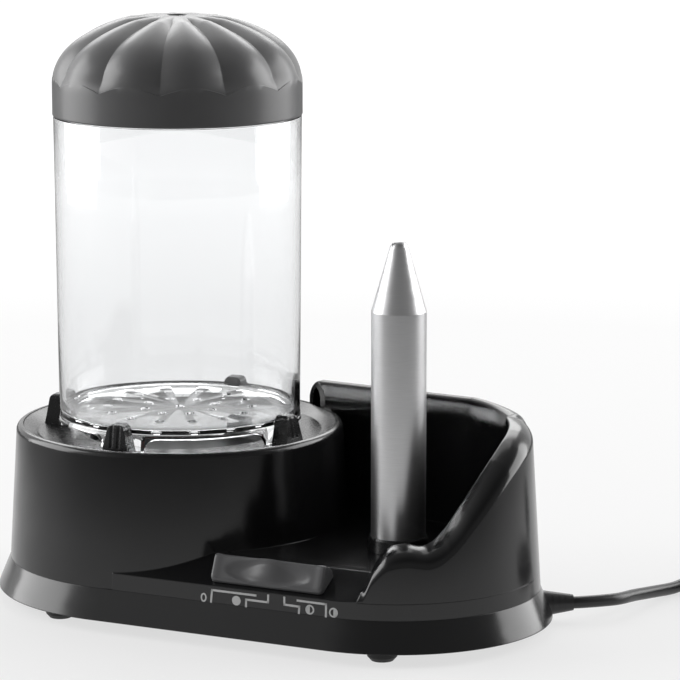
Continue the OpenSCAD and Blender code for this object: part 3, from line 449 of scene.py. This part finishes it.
marks = [
    ring_outline(2.8, 22.5, 1.6, 2.15, mark_rim), ring_outline(20.3, 22.9, dot_r, dot_r, dot_r - pin_hole),
]
for x, way in ((59.1, -1), (71.4, 1)):
    marks.append(ring_outline(x, half_z, dot_r, dot_r, mark_rim))
    half = [math.radians(-90 * way + 180 * k / 30) for k in range(31)]
    outer = [(x + core_r * math.cos(t), half_z + core_r * math.sin(t)) for t in half]
    middle = (x + 0.4 * way * core_r, half_z)
    marks.append((outer, [drawn_in(point, middle) for point in outer]))
for line in brackets:
    marks += [bar_outline(a, b) for a, b in zip(line, line[1:])]
switch_marks = piece_from("switch_marks", *joined([printed(*mark) for mark in marks]), mark_ink)
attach(switch_marks, "base")

# Sliding knob: satin grey plastic bar lying on the slope, moved along it by the thumb.
# Its steep front has a long oval dish with a smooth hump in the middle; a stem goes through the slot.
knob_grey = moulded("knob_grey", (0.10, 0.10, 0.103), 0.3, 1700.0, 0.08)
knob_l, knob_w, knob_x, knob_down, knob_gap = 59.0, 14.5, 35.5, 1.25, 0.4
knob_corner, knob_edge = 2.0, 1.1
corner_x, corner_y = knob_l / 2 - knob_corner, knob_w / 2 - knob_corner
front_y, slope_z, lip_y, tray_floor = -85.0, 28.5, -65.0, 39.0
slope_y = front_y + (slope_z - strip_foot) * draft
slope_angle = math.atan2(tray_floor - slope_z, lip_y - slope_y)
slope_run = (lip_y - slope_y) / math.cos(slope_angle)
face_foot, face_y, face_rise = 2.6, -6.35, 0.78
back_top, back_fall, crown_round = 13.4, 1.42, 1.7
dish_l, dish_w, dish_y, dish_depth, dish_wall, dish_bowl = 22.5, 4.6, -2.8, 1.5, 1.7, 0.75
hump_l, hump_w, hump_y, hump_h = 8.5, 5.0, -2.2, 2.6
end_l, end_in, end_h = 2.2, 2.0, 0.35


def on_slope(x, up, lift):
    up += slope_run / 2 - knob_down
    return (
        knob_x + x,
        slope_y + up * math.cos(slope_angle) - lift * math.sin(slope_angle),
        slope_z + up * math.sin(slope_angle) + lift * math.cos(slope_angle),
    )


def edge_distance(x, y):
    """How far a point of the knob lies inside its rounded outline."""
    px, py = abs(x) - corner_x, abs(y) - corner_y
    outside = math.hypot(max(px, 0), max(py, 0))
    return knob_corner - outside - min(max(px, py), 0)


def knob_top(x, y):
    """Height of the knob off the slope: steep front, rounded crown, falling back, with dish and hump."""
    face = face_foot + (y - face_y) * face_rise
    back = back_top - y * back_fall
    crown = (face + back - math.sqrt((face - back) ** 2 + crown_round)) / 2
    dish = max(0.0, 1 - (x / dish_l) ** 2 - ((y - dish_y) / dish_w) ** 2)
    sink = dish_depth * min(1.0, dish * dish_wall) ** dish_bowl
    hump = hump_h * math.exp(-((x / hump_l) ** 2)) * max(0.0, 1 - ((y - hump_y) / hump_w) ** 4)
    end_rise = end_h * math.exp(-(((abs(x) - knob_l / 2 + end_in) / end_l) ** 2))
    inside = min(knob_edge, max(0.0, edge_distance(x, y)))
    fall = knob_edge - math.sqrt(max(0.0, knob_edge ** 2 - (knob_edge - inside) ** 2))
    return crown - sink + hump + end_rise - fall


def rim_corner(cx, cy, turn):
    return (cx * corner_x + knob_corner * math.cos(turn), cy * corner_y + knob_corner * math.sin(turn))


knob_rim = []
knob_corners = [(1, 1), (-1, 1), (-1, -1), (1, -1)]
for k, (cx, cy) in enumerate(knob_corners):
    turns = [math.radians(90 * k + 90 * t / 12) for t in range(13)]
    knob_rim += [rim_corner(cx, cy, turn) for turn in turns]
    nx, ny = knob_corners[(k + 1) % 4]
    steps = 40 if nx != cx else 10
    (ax, ay), (bx, by) = knob_rim[-1], rim_corner(nx, ny, turns[-1])
    knob_rim += [(ax + (bx - ax) * t / steps, ay + (by - ay) * t / steps) for t in range(1, steps)]
shrinks = [1, 0.999, 0.997, 0.994, 0.99, 0.985, 0.98, 0.974, 0.967, 0.96, 0.95, 0.935, 0.92, 0.9, 0.88, 0.86]
shrinks += [0.83 - 0.04 * k for k in range(20)] + [0.02]
knob_points = [on_slope(x, y, knob_gap) for x, y in knob_rim]
for s in shrinks:
    knob_points += [on_slope(x * s, y * s, knob_gap + knob_top(x * s, y * s)) for x, y in knob_rim]
knob_faces = skin_faces(len(shrinks) + 1, len(knob_rim), False)
thumb_knob = piece_from("thumb_knob", knob_points, knob_faces, knob_grey, crease=60)
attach(thumb_knob, "switch")
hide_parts("switch_knob")

# Switch works under the slope: a black block on two posts with four contact tags,
# and a sprung brass carriage that the knob's stem pushes from stop to stop.
contact_brass = drawn_metal("contact_brass", (0.72, 0.55, 0.24), 0.28, 1200.0, (1, 0, 0), 0.1)
dress(contact_brass, "switch_carriage")
dress(inner_plastic, "switch_body")
dress(zinc_steel, "switch_screws")

# Steam deck: a black plate let into the drum top, with four fluted lugs round the tube's foot.
# Under it hangs the coated dish that boils the water, clamped up to a red rubber seal by four clips.
deck_black = moulded("deck_black", (0.008, 0.008, 0.0085), 0.27, 1600.0, 0.03, edge=0.5)
dish_coating = moulded("dish_coating", (0.055, 0.056, 0.058), 0.38, 1100.0, 0.2)
seal_rubber = moulded("seal_rubber", (0.16, 0.035, 0.028), 0.55, 2000.0, 0.3)
thermostat_ceramic = moulded("thermostat_ceramic", (0.70, 0.66, 0.57), 0.5, 1500.0, 0.25)
heater_steel = drawn_metal("heater_steel", (0.36, 0.35, 0.34), 0.42, 900.0, (0, 0, 1), 0.15)
dress(deck_black, "deck_ring")
dress(dish_coating, "heating_pan")
dress(seal_rubber, "pan_seal")
dress(heater_steel, "heating_element")
dress(thermostat_ceramic, "thermostat")
dress(zinc_steel, "thermal_fuse", "pan_clips", "clip_screws")

# Steaming tube: one clear moulded beaker with a pierced floor and a flared, arched skirt.
# It stands loose on the deck between the lugs and lifts off; its stepped neck takes the lid.
clear_tube, surface = new_finish("clear_tube")
place = surface.add("ShaderNodeTexCoord", out="Object")
haze = surface.add("ShaderNodeTexNoise", None, {"Vector": place, "Scale": 40.0, "Detail": 3.0})
surface.feed(surface.add("ShaderNodeBsdfPrincipled", None, {
    "Base Color": (0.955, 0.96, 0.965, 1), "Roughness": 0.01 + haze * 0.03,
    "Transmission Weight": 1.0, "IOR": 1.49,
}))
tube_foot, tube_floor, tube_mouth, tube_sides = 83.3, 93.3, 248.3, 240
lid_rim_z = tube_mouth - 8
shoulder = lid_rim_z - 0.5
tube_profile = [
    (61.4, tube_foot), (61.62, tube_foot + 0.3), (60.6, 88.8), (60.0, 91.6), (59.76, 93.3), (59.72, 95),
    (60.1, 145), (60.5, 195), (60.88, shoulder - 0.5), (60.8, shoulder - 0.1), (60.5, shoulder),
    (59.3, shoulder), (59.3, tube_mouth - 0.4), (59.1, tube_mouth), (57.7, tube_mouth),
    (57.5, tube_mouth - 0.4), (57.5, shoulder - 1), (58.7, shoulder - 4), (58.3, 195), (57.9, 145),
    (57.55, 96), (57.45, 94.6), (57.1, 93.7), (56.4, tube_floor), (0.2, tube_floor),
    (0.2, tube_floor - 2), (56.6, tube_floor - 2), (57.0, 90.6), (59.46, tube_foot + 0.3), (59.7, tube_foot),
]
lug_angles = (-170, -88.5, -7, 91.5)
arch_clear, arch_corner, arch_h, arch_least = 10.5, 6.2, 5.95, 0.05
notch_half, notch_r, notch_h, arch_r, cut_r = 9.3, 60.2, 9.0, 52, 70
hole_r, hole_sides = 2.5, 28
hole_spots = [(0, 0)] + [(18, 45 * k) for k in range(8)] + [(36, 360 / 14 * k) for k in range(14)]


def turned(bearing, r, z):
    t = math.radians(bearing)
    return (drum_x + r * math.cos(t), r * math.sin(t), z)


def curved_block(start, end, r_in, top, steps=60):
    """A block wrapped round the tube's axis, its top given by a height against the bearing."""
    bearings = [start + (end - start) * k / steps for k in range(steps + 1)]
    points = []
    for b in bearings:
        low, high = tube_foot - 1, tube_foot + top(b)
        points += [turned(b, r, z) for r, z in ((r_in, low), (r_in, high), (cut_r, high), (cut_r, low))]
    return points, skin_faces(steps + 1, 4, False)


def arch_top(start, end):
    """The height of an arch in the skirt, flat with rounded ends, as a function of the bearing."""
    def height(bearing):
        short = max(0.0, arch_corner - min(bearing - start, end - bearing)) / arch_corner
        return arch_least + arch_h * math.sqrt(max(0.0, 1 - short * short))
    return height


tube_lathe = [turned(360 * k / tube_sides, r, z) for k in range(tube_sides) for r, z in tube_profile]
tube_faces = skin_faces(tube_sides, len(tube_profile), True)
steam_tube = piece_from("clear_beaker", tube_lathe, tube_faces, clear_tube, crease=40)
cuts = []
for bearing, following in zip(lug_angles, lug_angles[1:] + (lug_angles[0] + 360,)):
    start, end = bearing + arch_clear, following - arch_clear
    cuts.append(curved_block(start, end, arch_r, arch_top(start, end)))
    cuts.append(curved_block(bearing - notch_half, bearing + notch_half, notch_r, lambda b: notch_h, 12))
for r, bearing in hole_spots:
    middle = Vector(turned(bearing, r, tube_floor))
    rim = [2 * math.pi * k / hole_sides for k in range(hole_sides)]
    points = [middle + Vector((hole_r * math.cos(t), hole_r * math.sin(t), z)) for z in (-5, 3) for t in rim]
    cuts.append((points, skin_faces(2, hole_sides, False)))
cutter = piece_from("tube_cutter", *joined(cuts), clear_tube)
opened = steam_tube.modifiers.new("openings", "BOOLEAN")
opened.operation, opened.solver, opened.object = "DIFFERENCE", "EXACT", cutter
whole = steam_tube.evaluated_get(bpy.context.evaluated_depsgraph_get())
steam_tube.data = bpy.data.meshes.new_from_object(whole)
steam_tube.modifiers.clear()
bpy.data.objects.remove(cutter)
smooth_below(steam_tube.data, 35)
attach(steam_tube, "tube")
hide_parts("steam_tube")

# Lid: satin grey moulding, a plain band that runs flush into a dome of twelve petals with sharp valleys.
# Its skirt drops over the tube's neck and a ledge inside rests on the mouth; a vent is at the top.
lid_grey = moulded("lid_grey", (0.13, 0.13, 0.132), 0.33, 1500.0, 0.08)
lid_r, lid_h, lid_band, arch_rise, vent_r = 61.3, 48.6, 15.4, 3.6, 4.7
petals, per_petal, crowding = 12, 28, 0.8
petal_depth, valley_angle, valley_round = 2.6, 21.0, 0.012
valley_climb, valley_start, valley_stop = 7, 0.2, 11
dome_h, dome_power = lid_h - lid_band + 1.4, 2.2
band_rows, dome_rows = 8, 32
ledge_h, ledge_r, skirt_r = 8.3, 55.9, 59.6
hollow_r, hollow_foot, hollow_h = lid_r - 5.6, ledge_h + 2, lid_h - ledge_h - 5


def petal_wave(bearing):
    """0 in a valley and 1 on the crown of a petal, with the valley's bottom just rounded."""
    wave = math.sin(math.radians((bearing - valley_angle) * petals / 2))
    soft = math.sqrt(wave * wave + valley_round ** 2) - valley_round
    return soft / (math.sqrt(1 + valley_round ** 2) - valley_round)


def dome_r(z):
    return lid_r * math.sqrt(1 - (max(0.0, z - lid_band) / dome_h) ** dome_power)


def dome_point(r, z, wave):
    """A point of the dome, sunk along the surface's normal towards the valley between two petals."""
    deep = valley_start + (1 - valley_start) * eased((z - lid_band) / valley_climb)
    near = part_way((r - valley_stop) / valley_stop)
    sink = petal_depth * deep * near * (1 - wave)
    steep = r / lid_r
    return r - sink * steep, z - sink * math.sqrt(max(0.0, 1 - steep * steep))


def lid_section(bearing):
    """Closed outline of the lid at one bearing: rim, band, petal, vent, hollow, ledge and skirt."""
    wave = petal_wave(bearing)
    crease = lid_band + arch_rise * wave
    section = [(lid_r - 0.5, 0), (lid_r - 0.15, 0.15), (lid_r, 0.5), (lid_r, 1.0)]
    for k in range(1, band_rows + 1):
        z = 1 + (crease - 1.05) * k / band_rows
        section.append((dome_r(z), z))
    for k in range(dome_rows + 1):
        z = crease + 0.15 + (lid_h - 1.35 - crease) * math.sin(math.pi / 2 * (k / dome_rows) ** 1.3)
        section.append(dome_point(dome_r(z), z, wave))
    for r, drop in ((20.5, 0.78), (17, 0.45), (14, 0.26), (11, 0.1)):
        section.append(dome_point(r, lid_h - drop, wave))
    section += [(9.5, lid_h - 0.06), (9.1, lid_h - 0.3), (8.7, lid_h - 0.3), (8.3, lid_h - 0.08)]
    section += [(vent_r + 0.4, lid_h - 0.08), (vent_r, lid_h - 0.5), (vent_r, lid_h - 2.6)]
    for lean in map(math.radians, (85, 75, 65, 55, 45, 35, 25, 12, 0)):
        section.append((hollow_r * math.cos(lean), hollow_foot + hollow_h * math.sin(lean)))
    return section + [(ledge_r, ledge_h), (skirt_r, ledge_h), (skirt_r, 0.3), (skirt_r + 0.15, 0)]


lid_points = []
for column in range(petals * per_petal):
    share = column % per_petal / per_petal
    share -= math.sin(2 * math.pi * share) * crowding / (2 * math.pi)
    bearing = valley_angle + 360 / petals * (column // per_petal + share)
    lid_points += [turned(bearing, r, lid_rim_z + z) for r, z in lid_section(bearing)]
lid_faces = skin_faces(petals * per_petal, len(lid_section(0)), True)
petal_lid = piece_from("petal_lid", lid_points, lid_faces, lid_grey, crease=38)
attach(petal_lid, "lid")
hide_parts("lid")

# Warming spike: a turned steel tube with a tapered point, brushed round its length, and a heater inside.
# It stands on a flange screwed up under the tray floor, in a stepped black collar.
brushed_spike = drawn_metal("brushed_spike", (0.62, 0.62, 0.625), 0.36, 5000.0, (1, 1, 0), 0.01)
dress(brushed_spike, "spike")
dress(deck_black, "spike_collar")
dress(heater_steel, "spike_heater", "spike_flange")
dress(zinc_steel, "spike_screws")

# Studio: a wide white table, and softboxes above, behind and at the sides; lengths are in metres.
# The room behind the object is white and the camera's side is dim, as in a light tent.
# In reflections the table's white reaches only a little way round the object.
front = Vector((towards_camera.x, towards_camera.y, 0)).normalized()
side = Vector((-front.y, front.x, 0))
reach = 6.0
table_corners = [(x * reach, y * reach, 0) for x, y in ((-1, -1), (1, -1), (1, 1), (-1, 1))]
floor = bpy.data.meshes.new("white_table")
floor.from_pydata(table_corners, [], [(0, 1, 2, 3)])
white_table = bpy.data.objects.new("white_table", floor)
bpy.context.scene.collection.objects.link(white_table)
table_white, surface = new_finish("table_white")
seen = surface.add("ShaderNodeLightPath", out="Is Camera Ray")
mirrored = surface.add("ShaderNodeLightPath", out="Is Glossy Ray")
through = surface.add("ShaderNodeLightPath", out="Is Transmission Ray")
place = surface.add("ShaderNodeTexCoord", out="Object")
away = surface.add("ShaderNodeVectorMath", {"operation": "LENGTH"}, {0: place}, "Value")
far_white = surface.add("ShaderNodeMapRange", None, {
    "Value": away, "From Min": 0.8, "From Max": 2.2, "To Min": 0.68, "To Max": 1.0,
})
close_by = surface.add("ShaderNodeMapRange", None, {
    "Value": away, "From Min": 0.4, "From Max": 0.7, "To Min": 1.0, "To Max": 0.0,
})
glow = surface.add("ShaderNodeEmission", None, {
    "Color": far_white, "Strength": surface.reckon("MINIMUM", seen + through + mirrored * close_by, 1.0),
})
matt = surface.add("ShaderNodeBsdfDiffuse", None, {"Color": (0.2, 0.2, 0.2, 1)})
surface.feed(surface.add("ShaderNodeAddShader", None, {0: glow, 1: matt}))
floor.materials.append(table_white)

room = bpy.data.worlds.new("light_tent")
bpy.context.scene.world = room
room.use_nodes = True
surface = Wire(room.node_tree.nodes["Background"].inputs["Color"])
direction = surface.add("ShaderNodeTexCoord", out="Generated")
dim_way = (0.94 * front + 0.34 * side).normalized()
facing = surface.add(
    "ShaderNodeVectorMath", {"operation": "DOT_PRODUCT"}, {0: direction, 1: dim_way}, "Value",
)
dim = surface.add("ShaderNodeMapRange", {"interpolation_type": "SMOOTHSTEP"}, {
    "Value": facing, "From Min": -0.35, "From Max": 0.6, "To Min": 1.0, "To Max": 0.25,
})
height = surface.add("ShaderNodeSeparateXYZ", None, {0: direction}, "Z")
zenith = surface.add("ShaderNodeMapRange", {"interpolation_type": "SMOOTHSTEP"}, {
    "Value": height, "From Min": 0.4, "From Max": 0.95, "To Min": 1.0, "To Max": 0.3,
})
seen = surface.add("ShaderNodeLightPath", out="Is Camera Ray")
surface.feed(surface.reckon("MAXIMUM", dim * zenith, seen))


def softbox(name, place, target, wide, high, power):
    lamp = bpy.data.lights.new(name, "AREA")
    lamp.shape = "RECTANGLE"
    lamp.size, lamp.size_y, lamp.energy = wide, high, power
    box = bpy.data.objects.new(name, lamp)
    box.location = place
    box.rotation_euler = (Vector(target) - Vector(place)).to_track_quat("-Z", "Y").to_euler()
    bpy.context.scene.collection.objects.link(box)


softbox("overhead_box", -0.75 * front + Vector((0, 0, 1.45)), (0, 0, 0.1), 1.0, 0.6, 2.5)
softbox("back_box", -1.5 * front + Vector((0, 0, 1.1)), (0, 0, 0.1), 1.5, 0.8, 12.0)
softbox("left_panel", (-1.55, -0.39, 0.6), (0, 0, 0.15), 1.4, 1.6, 28.0)
softbox("right_panel", (1.15, 1.11, 0.6), (0, 0, 0.15), 1.4, 1.6, 28.0)
bpy.context.scene.view_settings.view_transform = "Standard"
